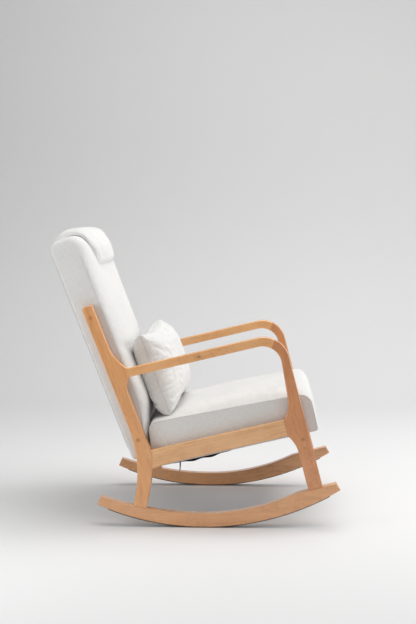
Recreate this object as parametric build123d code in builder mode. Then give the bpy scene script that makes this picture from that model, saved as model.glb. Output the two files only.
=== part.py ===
from build123d import *
from math import cos, radians, sin, sqrt, tan
import os

os.makedirs("parts", exist_ok=True)

# Millimetres. The origin is on the floor midway between the rockers' contact points;
# X runs to the front, Y to the sitter's left and Z up. The right side frame is drawn and mirrored.

# Side frames
frame_width = 640
member_thickness = 32
rail_thickness = 30
edge_round = 4.5
outer = frame_width / 2
inner = outer - member_thickness
middle = (outer + inner) / 2

# Rockers
rocker_radius = 860
rocker_rear_angle = 23.4
rocker_front_angle = 31.4
rocker_rear_tip = 30
rocker_front_tip = 26
rocker_waist_top = 46.5
rocker_edge_round = 3
leg_seat_length = 129
strip_thickness = 2
strip_width = 26
strip_rear_angle = 20.8
strip_front_angle = 28.7

# Front legs, along their sloping front edge
leg_splay = 14.7
leg_setback = 45.5
leg_foot_width = 48
leg_straight = 127
leg_waist_height = 300
leg_waist_width = 38.5
leg_upper_splay = 9.8

# Arms and their arch into the front legs
arm_rise = 13.5
arm_height = 576.8
arm_thickness = 29
arm_socket = 28.2
arch_outer_radius = 85
arch_inner_radius = 62
arch_joint_turn = 38

# Seat rails
seat_pitch = 13.4
rail_height = 291.5
rail_depth = 54
rail_socket = 1.7
rail_boss = 20.6
rail_flare_length = 79
rail_flare_drop = 8

# Front cross rail
cross_rail_depth = 28
cross_rail_drop = 60
cross_rail_round = 3

# Rear legs, along the sloping back
back_rake = 21.2
back_origin = (-305, 407)
leg_rear_gap = 33.3
leg_top = 314
leg_top_width = 35.5
leg_mid_width = 39.5
leg_top_round = 7
flare_above_arm = 83.9
flare_below_arm = 47.4
flare_above_rail = 80
bend_above_rail = 95
calf_share = 0.39
calf_swell = 2.9
rear_foot_x = (-224, -180.5)

# Fasteners
dowel_diameter = 8
dowel_length = 40
dowel_clearance = 0.1
dowel_spacing = 13
foot_dowel_spacing = 20
rail_dowel_spacing = 26
bolt_diameter = 6
bolt_head_diameter = 11.6
bolt_head_height = 4.5
socket_radius = 2.5
socket_depth = 2.5
bolt_reach = 42
bolt_clearance = 0.3
plug_diameter = 13
plug_thickness = 6
plug_clearance = 0.05
counterbore_depth = 12
insert_diameter = 10
insert_length = 16
insert_clearance = 0.1
insert_setback = 4.5
insert_hole_extra = 4
upper_bolt_drop = 39
upper_bolt_depth = 50
lower_bolt_offset = (-41, 33.8)
front_bolt_drops = (51.4, 22.4)
front_bolt_depth = 24.5
screw_diameter = 4.4
screw_head_diameter = 8.4
screw_head_height = 2.5
screw_bite = 16
screw_tip_clearance = 1
screw_clearance = 0.1
screw_stations = (-50, 90, 230)
screw_drop = -30

# Upholstery
soft_gap = 0.3
cover_thickness = 3
cover_half = inner - soft_gap
board_thickness = 20
board_gap = 2.4
strap_width = 50
strap_thickness = 2
strap_margin = 4
hem_width = 26
hem_corner = 10
cut_margin = 1

# Seat
seat_front = 371
seat_rear = -162
seat_rear_undercut = 16
seat_floor = -62
seat_front_top = 61
seat_rear_top = 84
seat_crown = 40
seat_rear_share = 0.1
seat_front_bulge = 8
seat_swell = ((9.7, 0.18), (32.7, 0.45), (87.7, 0.74))
seat_radii = (4, 5, 24, 26)
seat_board_height = 40
deck_thickness = 15
deck_margin = 6
deck_corner = 12
vent_diameter = 18
vent_spacing = (110, 120)
vent_count = (4, 4)
corner_block = 60
dust_thickness = 1
dust_margin = 8
tail_size = (5, 1.2, 24)
tail_site = (-62, 13.7)

# Back
back_bottom = -204
back_top = 546
back_toe = 56
back_knee = -46
back_seam = 80
back_crown = 39
back_top_swell = 4
back_swell = ((7.7, 0.38), (25.7, 0.7), (72.7, 0.87))
back_radii = (14, 20, 60, 48, 24)
stile_rear = 6
stile_setback = 6
stile_foot = 14
stile_head = 30
stile_toe = 8
stile_bevel = (30, 40)
back_board_depth = 10
back_board_heights = (45, 50, 55)
top_board_drop = 31
bottom_board_rise = 29
back_strap_count = 7
back_strap_drop = 70
back_foam_thickness = 20
back_foam_rise = 6
back_foam_drop = 41
back_foam_margin = 20
back_foam_corner = 30
back_foam_round = 10
rear_panel_thickness = 2
rear_panel_corner = 14

# Headrest, a padded saddle over the top of the back
headrest_setback = 51.7
headrest_half = cover_half - headrest_setback
headrest_front_length = 128
headrest_rear_length = 121
headrest_skin = 2
headrest_front = 29
headrest_rear = 10
headrest_gap = 3.5
headrest_cheek_drop = 54
headrest_shoulder = (29.5, 14)
headrest_crest = (48, 39)
headrest_rounds = (16.5, 60, 60, 90, 22, 0)
headrest_inner_rounds = (44, 22)
headrest_end_round = 16

# Lumbar pillow
pillow_back_gap = 1.6
pillow_seat_gap = 0.8
pillow_slouch = 0.5
pillow_half_width = 245
pillow_half_height = 142
pillow_front = ((0, 0, -14), (18, 9, -6), (42, 24, 6), (62, 50, 12), (76, 95, 10))
pillow_rear = ((0, 0, -14), (-16, 8, -6), (-33, 20, 6), (-46, 48, 10))


def tilted(origin, angle):
    c, s = cos(radians(angle)), sin(radians(angle))

    def place(a, b):
        return (origin[0] + a * c - b * s, origin[1] + a * s + b * c)

    return place


def seen_from(origin, angle, p):
    c, s = cos(radians(angle)), sin(radians(angle))
    dx, dz = p[0] - origin[0], p[1] - origin[1]
    return (dx * c + dz * s, dz * c - dx * s)


def crossing(p, p_angle, q, q_angle):
    pc, ps = cos(radians(p_angle)), sin(radians(p_angle))
    qc, qs = cos(radians(q_angle)), sin(radians(q_angle))
    t = ((q[0] - p[0]) * qs - (q[1] - p[1]) * qc) / (pc * qs - ps * qc)
    return (p[0] + t * pc, p[1] + t * ps)


def polar(centre, radius, angle):
    return (centre[0] + radius * cos(radians(angle)), centre[1] + radius * sin(radians(angle)))


def midway(p, q, share=0.5):
    return (p[0] + (q[0] - p[0]) * share, p[1] + (q[1] - p[1]) * share)


def direction(angle):
    return (cos(radians(angle)), sin(radians(angle)))


def rocker_point(radius, angle):
    return (radius * sin(radians(angle)), rocker_radius - radius * cos(radians(angle)))


def side_plane(origin, angle, y=0):
    c, s = direction(angle)
    return Plane(origin=(origin[0], y, origin[1]), x_dir=(c, 0, s), z_dir=(0, -1, 0))


def spread(half, table, end_share=0):
    inward = [(half - inset, share) for inset, share in reversed(table)]
    return [(0, 1)] + inward + [(half, end_share)]


def both_ways(table):
    return [(-y, a) for y, a in reversed(table[1:])] + list(table)


# Local frames: (along, across) each member
wood_radius = rocker_radius - strip_thickness
rocker_front_top = rocker_point(wood_radius - rocker_front_tip, rocker_front_angle)
rocker_rear_top = rocker_point(wood_radius - rocker_rear_tip, -rocker_rear_angle)
leg = tilted(rocker_front_top, leg_splay)
arm = tilted((0, arm_height), arm_rise)
rail = tilted((0, rail_height), seat_pitch)
back = tilted(back_origin, back_rake)
pillow_depth = back_seam + back_crown - pillow_rear[-1][0] + pillow_back_gap
pillow_level = seat_rear_top + pillow_half_height + pillow_seat_gap
pillow_centre = crossing(back(pillow_depth, 0), 90 + back_rake, rail(0, pillow_level), seat_pitch)
pillow_lean = back_rake - pillow_slouch
pillow = tilted(pillow_centre, pillow_lean)

# Where the members meet
leg_seat_start = leg(-leg_seat_length, 0)
leg_toe = leg(-leg_setback, 0)
leg_heel = leg(-leg_setback - leg_foot_width, 0)
leg_waist = leg(-leg_setback - leg_waist_width, leg_waist_height)
leg_front = leg_rear_gap + leg_mid_width
leg_back = -leg_setback - leg_foot_width
rail_top_rear = crossing(rail(0, 0), seat_pitch, back(leg_front + rail_socket, 0), 90 + back_rake)
rail_top_front = crossing(rail(0, 0), seat_pitch, leg(leg_back - rail_boss, 0), 90 + leg_splay)
rail_low_front = crossing(rail(0, -rail_depth), seat_pitch, rail_top_front, 90 + leg_splay)
rail_low_rear = crossing(rail(0, -rail_depth - rail_flare_drop), seat_pitch, rail_top_rear, 94)
arm_top_rear = crossing(arm(0, 0), arm_rise, back(leg_front + arm_socket, 0), 90 + back_rake)
arm_low_rear = tilted(arm_top_rear, arm_rise)(0, -arm_thickness)
waist_rise = rocker_rear_top[1] - rocker_waist_top
hollow_radius = (rocker_rear_top[0] ** 2 + waist_rise**2) / (2 * waist_rise)
rear_foot = [(x, rocker_waist_top + hollow_radius - sqrt(hollow_radius**2 - x**2)) for x in rear_foot_x]

# Arch between arm and front leg
outer_turn = 90 + arm_rise - leg_splay
inner_turn = 90 + arm_rise - leg_upper_splay
outer_corner = crossing(arm(0, 0), arm_rise, leg_toe, 90 + leg_splay)
inner_corner = crossing(arm_low_rear, arm_rise, leg_waist, 90 + leg_upper_splay)
outer_run = arch_outer_radius * tan(radians(outer_turn / 2))
inner_run = arch_inner_radius * tan(radians(inner_turn / 2))
outer_centre = tilted(outer_corner, arm_rise)(-outer_run, -arch_outer_radius)
inner_centre = tilted(inner_corner, arm_rise)(-inner_run, -arch_inner_radius)


def arch_outer(turn):
    return polar(outer_centre, arch_outer_radius, 90 + arm_rise - turn)


def arch_inner(turn):
    return polar(inner_centre, arch_inner_radius, 90 + arm_rise - turn)


inner_joint_turn = arch_joint_turn * inner_turn / outer_turn
arch_joint = (arch_outer(arch_joint_turn), arch_inner(inner_joint_turn))

# Joints between members, as the two ends of each joint line
joints = {
    "rear_foot": (rear_foot[0], rear_foot[1]),
    "front_foot": (leg_heel, leg_toe),
    "arm_rear": (arm_low_rear, arm_top_rear),
    "arch": (arch_joint[1], arch_joint[0]),
    "rail_rear": (rail_low_rear, rail_top_rear),
    "rail_front": (rail_low_front, rail_top_front),
}


def joint_planes(name, count_along, spacing):
    p, q = joints[name]
    length = sqrt((q[0] - p[0]) ** 2 + (q[1] - p[1]) ** 2)
    line = ((q[0] - p[0]) / length, (q[1] - p[1]) / length)
    centre = midway(p, q)
    planes = []
    for step in (-spacing / 2, spacing / 2):
        along = step if count_along else 0
        y = -middle if count_along else -middle + step
        origin = (centre[0] + line[0] * along, y, centre[1] + line[1] * along)
        planes.append(Plane(origin=origin, x_dir=(0, 1, 0), z_dir=(line[1], 0, -line[0])))
    return planes


dowel_planes = {
    "rear_foot": joint_planes("rear_foot", True, foot_dowel_spacing),
    "front_foot": joint_planes("front_foot", True, foot_dowel_spacing),
    "arm_rear": joint_planes("arm_rear", False, dowel_spacing),
    "arch": joint_planes("arch", False, dowel_spacing),
    "rail_rear": joint_planes("rail_rear", True, rail_dowel_spacing),
    "rail_front": joint_planes("rail_front", True, rail_dowel_spacing),
}


def dowel_holes(*names):
    for name in names:
        with Locations(*dowel_planes[name]):
            Cylinder(
                dowel_diameter / 2 + dowel_clearance,
                dowel_length + 2 * dowel_clearance,
                mode=Mode.SUBTRACT,
            )


upper_bolt = leg_top - upper_bolt_drop
lower_bolt = (rail_top_rear[0] + lower_bolt_offset[0], rail_top_rear[1] + lower_bolt_offset[1])
rear_bolts = [back(upper_bolt_depth, upper_bolt), lower_bolt]
rail_foot = seen_from(rocker_front_top, leg_splay, rail_low_front)[1]
front_bolt_heights = [rail_foot - drop for drop in front_bolt_drops]
front_bolts = [leg(-leg_setback - front_bolt_depth, height) for height in front_bolt_heights]
insert_start = inner - insert_setback
screw_end = inner + screw_bite


def across(site, y):
    return Plane(origin=(site[0], -y, site[1]), x_dir=(1, 0, 0), z_dir=(0, -1, 0))


def bolt_holes(sites):
    with Locations(*[across(site, outer) for site in sites]):
        CounterBoreHole(
            bolt_diameter / 2 + bolt_clearance,
            plug_diameter / 2,
            counterbore_depth,
            member_thickness,
        )


def free_outline(piece, *names):
    ends = [midway(*joints[name]) for name in names]
    faces = piece.faces().sort_by(Axis.Y)
    edges = faces[0].edges() + faces[-1].edges()
    return [
        edge
        for edge in edges
        if all(abs((edge @ 0.5).X - x) > 2 or abs((edge @ 0.5).Z - z) > 2 for x, z in ends)
    ]


# Rocker
with BuildPart() as rocker_right:
    with BuildSketch(Plane.XZ.offset(inner)):
        with BuildLine():
            rocker_rear_low = rocker_point(wood_radius, -rocker_rear_angle)
            rocker_front_low = rocker_point(wood_radius, rocker_front_angle)
            ThreePointArc(rocker_rear_low, rocker_point(wood_radius, 0), rocker_front_low)
            Line(rocker_front_low, rocker_front_top)
            Line(rocker_front_top, leg_seat_start)
            TangentArc((0, rocker_waist_top), leg_seat_start, tangent=(1, 0))
            TangentArc((0, rocker_waist_top), rocker_rear_top, tangent=(-1, 0))
            Line(rocker_rear_top, rocker_rear_low)
        make_face()
    extrude(amount=member_thickness)
    fillet(free_outline(rocker_right), rocker_edge_round)
    dowel_holes("rear_foot", "front_foot")

# Anti-slip strip under the rocker
with BuildPart() as rocker_strip_right:
    with BuildSketch(Plane.XZ.offset(middle - strip_width / 2)):
        with BuildLine():
            ends = (-strip_rear_angle, strip_front_angle)
            low = [rocker_point(rocker_radius, a) for a in (ends[0], 0, ends[1])]
            high = [rocker_point(wood_radius, a) for a in (ends[0], 0, ends[1])]
            ThreePointArc(*low)
            Line(low[2], high[2])
            ThreePointArc(*high)
            Line(high[0], low[0])
        make_face()
    extrude(amount=strip_width)

# Rear leg with its flares to arm and rail
with BuildPart() as rear_leg_right:
    with BuildSketch(Plane.XZ.offset(inner)) as outline:
        with BuildLine():
            front_top = back(leg_rear_gap + leg_top_width, leg_top)
            arm_above = seen_from(back_origin, back_rake, arm_top_rear)[1]
            arm_below = seen_from(back_origin, back_rake, arm_low_rear)[1]
            rail_above = seen_from(back_origin, back_rake, rail_top_rear)[1]
            flare_top = back(leg_rear_gap + leg_top_width, arm_above + flare_above_arm)
            flare_low = back(leg_front, arm_below - flare_below_arm)
            flare_rail = back(leg_front, rail_above + flare_above_rail)
            bend = back(leg_rear_gap, rail_above + bend_above_rail)
            calf = midway(rail_low_rear, rear_foot[1], calf_share)
            rear_top = back(leg_rear_gap, leg_top)
            Line(rear_top, front_top)
            Line(front_top, flare_top)
            TangentArc(flare_top, arm_top_rear, tangent=direction(back_rake - 90))
            Line(arm_top_rear, arm_low_rear)
            TangentArc(flare_low, arm_low_rear, tangent=direction(back_rake + 90))
            Line(flare_low, flare_rail)
            TangentArc(flare_rail, rail_top_rear, tangent=direction(back_rake - 90))
            Line(rail_top_rear, rail_low_rear)
            ThreePointArc(rail_low_rear, (calf[0] + calf_swell, calf[1]), rear_foot[1])
            Line(rear_foot[1], rear_foot[0])
            TangentArc(bend, rear_foot[0], tangent=direction(back_rake - 90))
            Line(bend, rear_top)
        make_face()
        fillet(outline.vertices().sort_by(Axis.Y)[-2:], leg_top_round)
    extrude(amount=member_thickness)
    fillet(free_outline(rear_leg_right, "arm_rear", "rail_rear", "rear_foot"), edge_round)
    dowel_holes("rear_foot", "arm_rear", "rail_rear")
    bolt_holes(rear_bolts)

# Front leg with its boss at the rail and the lower half of the arch
with BuildPart() as front_leg_right:
    with BuildSketch(Plane.XZ.offset(inner)):
        with BuildLine():
            heel_top = leg(-leg_setback - leg_foot_width, leg_straight)
            Line(leg_toe, arch_outer(outer_turn))
            outer_mid = arch_outer((outer_turn + arch_joint_turn) / 2)
            ThreePointArc(arch_outer(outer_turn), outer_mid, arch_joint[0])
            Line(arch_joint[0], arch_joint[1])
            inner_mid = arch_inner((inner_turn + inner_joint_turn) / 2)
            ThreePointArc(arch_joint[1], inner_mid, arch_inner(inner_turn))
            Line(arch_inner(inner_turn), leg_waist)
            TangentArc(leg_waist, rail_top_front, tangent=direction(leg_upper_splay - 90))
            Line(rail_top_front, rail_low_front)
            TangentArc(heel_top, rail_low_front, tangent=direction(leg_splay + 90))
            Line(heel_top, leg_heel)
            Line(leg_heel, leg_toe)
        make_face()
    extrude(amount=member_thickness)
    fillet(free_outline(front_leg_right, "arch", "rail_front", "front_foot"), edge_round)
    dowel_holes("front_foot", "arch", "rail_front")
    bolt_holes(front_bolts)

# Arm with the upper half of the arch
with BuildPart() as arm_right:
    with BuildSketch(Plane.XZ.offset(inner)):
        with BuildLine():
            Line(arm_top_rear, arch_outer(0))
            ThreePointArc(arch_outer(0), arch_outer(arch_joint_turn / 2), arch_joint[0])
            Line(arch_joint[0], arch_joint[1])
            ThreePointArc(arch_joint[1], arch_inner(inner_joint_turn / 2), arch_inner(0))
            Line(arch_inner(0), arm_low_rear)
            Line(arm_low_rear, arm_top_rear)
        make_face()
    extrude(amount=member_thickness)
    fillet(free_outline(arm_right, "arch", "arm_rear"), edge_round)
    dowel_holes("arm_rear", "arch")

# Seat rail
screw_sites = [rail(s, screw_drop) for s in screw_stations]
with BuildPart() as side_rail_right:
    with BuildSketch(Plane.XZ.offset(inner)):
        with BuildLine():
            flare = crossing(rail(0, -rail_depth), seat_pitch, (rail_top_rear[0] + rail_flare_length, 0), 90)
            Line(rail_top_rear, rail_top_front)
            Line(rail_top_front, rail_low_front)
            Line(rail_low_front, flare)
            TangentArc(flare, rail_low_rear, tangent=direction(seat_pitch + 180))
            Line(rail_low_rear, rail_top_rear)
        make_face()
    extrude(amount=rail_thickness)
    fillet(free_outline(side_rail_right, "rail_front", "rail_rear"), edge_round)
    dowel_holes("rail_front", "rail_rear")
    with Locations(*[across(site, inner) for site in screw_sites]):
        Hole(screw_diameter / 2 + screw_clearance, screw_bite + screw_tip_clearance)

# Front cross rail under the seat, its top cut to the seat's slope
seat_underside = seat_floor - dust_thickness
with BuildPart() as front_cross_rail:
    with BuildSketch(Plane.XZ.offset(-inner)):
        with BuildLine():
            near = -leg_setback - front_bolt_depth + cross_rail_depth / 2
            far = near - cross_rail_depth
            bottom = sum(front_bolt_heights) / 2 - cross_rail_drop / 2
            top_near = crossing(rail(0, seat_underside), seat_pitch, leg(near, 0), 90 + leg_splay)
            top_far = crossing(rail(0, seat_underside), seat_pitch, leg(far, 0), 90 + leg_splay)
            Polyline(leg(far, bottom), leg(near, bottom), top_near, top_far, close=True)
        make_face()
    extrude(amount=2 * inner)
    lengthwise = front_cross_rail.edges().filter_by(Axis.Y)
    fillet(lengthwise.group_by(Axis.Z)[0] + lengthwise.group_by(Axis.Z)[1], cross_rail_round)
    for mirrored in (1, -1):
        sites = [
            Plane(origin=(x, -mirrored * inner, z), x_dir=(1, 0, 0), z_dir=(0, -mirrored, 0))
            for x, z in front_bolts
        ]
        with Locations(*sites):
            Hole(insert_diameter / 2 + insert_clearance, insert_setback + insert_length + insert_hole_extra)

# Dowels in the six joints of each side frame
with BuildPart() as frame_dowels:
    for planes in dowel_planes.values():
        with Locations(*planes):
            Cylinder(dowel_diameter / 2, dowel_length)
    mirror(about=Plane.XZ)

# Bolts, threaded inserts and the wooden plugs over the bolt heads
bolt_sites = rear_bolts + front_bolts
bolt_seat = outer - counterbore_depth
with BuildPart() as frame_bolts:
    with BuildSketch(*[across(site, bolt_seat) for site in bolt_sites]):
        Circle(bolt_head_diameter / 2)
    extrude(amount=bolt_head_height)
    with BuildSketch(*[across(site, bolt_seat) for site in bolt_sites]):
        Circle(bolt_diameter / 2)
    extrude(amount=-bolt_reach)
    with BuildSketch(*[across(site, bolt_seat + bolt_head_height) for site in bolt_sites]):
        RegularPolygon(socket_radius, 6)
    extrude(amount=-socket_depth, mode=Mode.SUBTRACT)
    mirror(about=Plane.XZ)

with BuildPart() as insert_nuts:
    with BuildSketch(*[across(site, insert_start) for site in bolt_sites]):
        Circle(insert_diameter / 2)
        Circle(bolt_diameter / 2 + insert_clearance, mode=Mode.SUBTRACT)
    extrude(amount=-insert_length)
    mirror(about=Plane.XZ)

with BuildPart() as bolt_plugs:
    with BuildSketch(*[across(site, outer) for site in bolt_sites]):
        Circle(plug_diameter / 2 - plug_clearance)
    extrude(amount=-plug_thickness)
    mirror(about=Plane.XZ)


# Seat
def seat_section(y, share, inset, floor):
    front = seat_front + seat_front_bulge * share - inset
    rear = seat_rear + inset
    rear_low = rear - seat_rear_undercut * (seat_rear_top - floor) / (seat_rear_top - seat_floor)
    front_top = seat_front_top + seat_crown * share - inset
    rear_top = seat_rear_top + seat_crown * seat_rear_share * share - inset
    radii = [max(radius - inset, 2) for radius in seat_radii]
    with BuildSketch(side_plane((0, rail_height), seat_pitch, y)) as section:
        with BuildLine():
            corners = ((rear_low, floor), (front, floor), (front, front_top), (rear, rear_top))
            FilletPolyline(*corners, radius=radii, close=True)
        make_face()
    return section.sketch


def seat_sections(inset, floor):
    squeeze = (cover_half - inset) / cover_half
    stations = both_ways(spread(cover_half, seat_swell))
    return [seat_section(y * squeeze, share, inset, floor) for y, share in stations]


def seat_plane(level):
    x, z = rail(0, level)
    c, s = direction(seat_pitch)
    return Plane(origin=(x, 0, z), x_dir=(c, 0, s), z_dir=(-s, 0, c))


seat_middle = (seat_front + seat_rear) / 2
seat_length = seat_front - seat_rear
with BuildPart() as seat_cover:
    loft(seat_sections(0, seat_floor))
    loft(seat_sections(cover_thickness, seat_floor + cover_thickness), mode=Mode.SUBTRACT)
    with BuildSketch(seat_plane(seat_floor - cut_margin)):
        with Locations((seat_middle, 0)):
            RectangleRounded(seat_length - 2 * hem_width, 2 * (cover_half - hem_width), hem_corner)
    extrude(amount=cover_thickness + 2 * cut_margin, mode=Mode.SUBTRACT)
    for mirrored in (1, -1):
        planes = [
            Plane(origin=(x, -mirrored * outer, z), x_dir=(1, 0, 0), z_dir=(0, -mirrored, 0))
            for x, z in screw_sites
        ]
        with Locations(*planes):
            Hole(screw_diameter / 2 + soft_gap, outer - cover_half + 2 * cover_thickness)

board_floor = seat_floor + cover_thickness
board_top = board_floor + seat_board_height
board_front = seat_front - cover_thickness - board_gap
board_rear = seat_rear + cover_thickness + board_gap
board_side = cover_half - cover_thickness - board_gap

with BuildPart() as seat_board_right:
    with BuildSketch(seat_plane(board_floor)):
        with Locations(((board_front + board_rear) / 2, board_thickness / 2 - board_side)):
            Rectangle(board_front - board_rear, board_thickness)
    extrude(amount=seat_board_height)
    with Locations(*[across(site, board_side) for site in screw_sites]):
        Hole(screw_diameter / 2 + screw_clearance, board_thickness)

with BuildPart() as seat_board_front:
    with BuildSketch(seat_plane(board_floor)):
        with Locations((board_front - board_thickness / 2, 0)):
            Rectangle(board_thickness, 2 * (board_side - board_thickness))
    extrude(amount=seat_board_height)

with BuildPart() as seat_board_rear:
    with BuildSketch(seat_plane(board_floor)):
        with Locations((board_rear + board_thickness / 2, 0)):
            Rectangle(board_thickness, 2 * (board_side - board_thickness))
    extrude(amount=seat_board_height)

with BuildPart() as seat_corner_blocks:
    with BuildSketch(seat_plane(board_floor)):
        with BuildLine():
            block_front = board_front - board_thickness
            block_side = board_side - board_thickness
            Polyline(
                (block_front, block_side),
                (block_front - corner_block, block_side),
                (block_front, block_side - corner_block),
                close=True,
            )
        make_face()
        with BuildLine():
            block_rear = board_rear + board_thickness
            Polyline(
                (block_rear, block_side),
                (block_rear, block_side - corner_block),
                (block_rear + corner_block, block_side),
                close=True,
            )
        make_face()
    extrude(amount=seat_board_height)
    mirror(about=Plane.XZ)

deck_front = board_front - deck_margin
deck_rear = board_rear + deck_margin
with BuildPart() as seat_deck:
    with BuildSketch(seat_plane(board_top)):
        with Locations(((deck_front + deck_rear) / 2, 0)):
            RectangleRounded(deck_front - deck_rear, 2 * (board_side - deck_margin), deck_corner)
        with GridLocations(*vent_spacing, *vent_count):
            with Locations(((deck_front + deck_rear) / 2, 0)):
                Circle(vent_diameter / 2, mode=Mode.SUBTRACT)
    extrude(amount=deck_thickness)

with BuildPart() as seat_foam:
    loft(seat_sections(cover_thickness + soft_gap, board_top + deck_thickness))

with BuildPart() as dust_cover:
    with BuildSketch(seat_plane(seat_floor)):
        with Locations((seat_middle, 0)):
            RectangleRounded(seat_length - 2 * dust_margin, 2 * (cover_half - dust_margin), dust_margin)
    extrude(amount=-dust_thickness)

with BuildPart() as dust_tail:
    with BuildSketch(seat_plane(seat_underside)):
        with Locations((tail_site[0], tail_site[1] - cover_half)):
            Rectangle(tail_size[0], tail_size[1])
    extrude(amount=-tail_size[2])

with BuildPart() as seat_screws:
    with BuildSketch(*[across(site, board_side - board_thickness) for site in screw_sites]):
        Circle(screw_head_diameter / 2)
    extrude(amount=-screw_head_height)
    with BuildSketch(*[across(site, board_side - board_thickness) for site in screw_sites]):
        Circle(screw_diameter / 2)
    extrude(amount=screw_end - board_side + board_thickness - screw_tip_clearance)
    mirror(about=Plane.XZ)


# Back
def back_section(y, share, inset):
    front_low = back_seam + back_crown * share - inset
    front_high = front_low + back_top_swell * share
    top = back_top - inset
    bottom = back_bottom + inset
    toe = back_toe - inset
    radii = [max(radius - inset, 2) for radius in back_radii]
    with BuildSketch(side_plane(back_origin, back_rake, y)) as section:
        with BuildLine():
            corners = ((inset, bottom), (toe, bottom), (front_low, back_knee), (front_high, top), (inset, top))
            FilletPolyline(*corners, radius=radii, close=True)
        make_face()
    return section.sketch


def back_sections(inset):
    squeeze = (cover_half - inset) / cover_half
    stations = both_ways(spread(cover_half, back_swell))
    return [back_section(y * squeeze, share, inset) for y, share in stations]


def back_plane(depth):
    x, z = back(depth, 0)
    c, s = direction(back_rake)
    return Plane(origin=(x, 0, z), x_dir=(0, 1, 0), z_dir=(c, 0, s))


back_middle = (back_top + back_bottom) / 2
back_length = back_top - back_bottom
with BuildPart() as back_cover:
    loft(back_sections(0))
    loft(back_sections(cover_thickness), mode=Mode.SUBTRACT)
    with BuildSketch(back_plane(-cut_margin)):
        with Locations((0, back_middle)):
            RectangleRounded(2 * (cover_half - hem_width), back_length - 4 * hem_width, hem_corner)
    extrude(amount=cover_thickness + 2 * cut_margin, mode=Mode.SUBTRACT)
    for mirrored in (1, -1):
        planes = [
            Plane(origin=(x, -mirrored * outer, z), x_dir=(1, 0, 0), z_dir=(0, -mirrored, 0))
            for x, z in rear_bolts
        ]
        with Locations(*planes):
            Hole(bolt_diameter / 2 + bolt_clearance, outer - cover_half + 2 * cover_thickness)

with BuildPart() as back_rear_panel:
    with BuildSketch(back_plane(0)):
        with Locations((0, back_middle)):
            RectangleRounded(2 * (cover_half - hem_width / 2), back_length - 3 * hem_width, rear_panel_corner)
    extrude(amount=-rear_panel_thickness)

stile_outer = cover_half - cover_thickness - soft_gap
stile_inner = stile_outer - board_thickness
stile_front = back_seam - stile_setback
stile_low = back_bottom + stile_foot
stile_high = back_top - stile_head
with BuildPart() as back_stile_right:
    with BuildSketch(side_plane(back_origin, back_rake, -stile_inner)):
        with BuildLine():
            stile_corners = (
                (stile_rear, stile_low),
                (back_toe - stile_toe, stile_low),
                (stile_front, back_knee),
                (stile_front, stile_high - stile_bevel[1]),
                (stile_front - stile_bevel[0], stile_high),
                (stile_rear, stile_high),
            )
            Polyline(*stile_corners, close=True)
        make_face()
    extrude(amount=board_thickness)
    with Locations(*[across(site, stile_outer) for site in rear_bolts]):
        Hole(insert_diameter / 2 + insert_clearance, board_thickness)


def back_board(centre, height):
    with BuildSketch(back_plane(back_board_depth)) as section:
        with Locations((0, centre)):
            Rectangle(2 * stile_inner, height)
    return section.sketch


with BuildPart() as back_board_top:
    top_board_centre = back_top - top_board_drop - back_board_heights[0] / 2
    extrude(back_board(top_board_centre, back_board_heights[0]), amount=board_thickness)

with BuildPart() as back_board_middle:
    extrude(back_board(upper_bolt, back_board_heights[1]), amount=board_thickness)

with BuildPart() as back_board_bottom:
    bottom_board_centre = back_bottom + bottom_board_rise + back_board_heights[2] / 2
    extrude(back_board(bottom_board_centre, back_board_heights[2]), amount=board_thickness)

strap_first = back_knee + strap_width
strap_step = (stile_high - back_strap_drop - strap_first) / (back_strap_count - 1)
with BuildPart() as back_webbing:
    with BuildSketch(back_plane(stile_front)):
        for number in range(back_strap_count):
            with Locations((0, strap_first + number * strap_step)):
                Rectangle(2 * (stile_outer - strap_margin), strap_width)
    extrude(amount=strap_thickness)

foam_half = board_side - back_foam_margin
foam_low = back_knee + back_foam_rise
foam_high = back_top - back_foam_drop
with BuildPart() as back_foam:
    with BuildSketch(back_plane(stile_front + strap_thickness)):
        with Locations((0, (foam_low + foam_high) / 2)):
            RectangleRounded(2 * foam_half, foam_high - foam_low, back_foam_corner)
    extrude(amount=back_foam_thickness)
    front_face = back_foam.faces().sort_by(Axis(back_plane(0).origin, back_plane(0).z_dir))[-1]
    fillet(front_face.edges(), back_foam_round)


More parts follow.
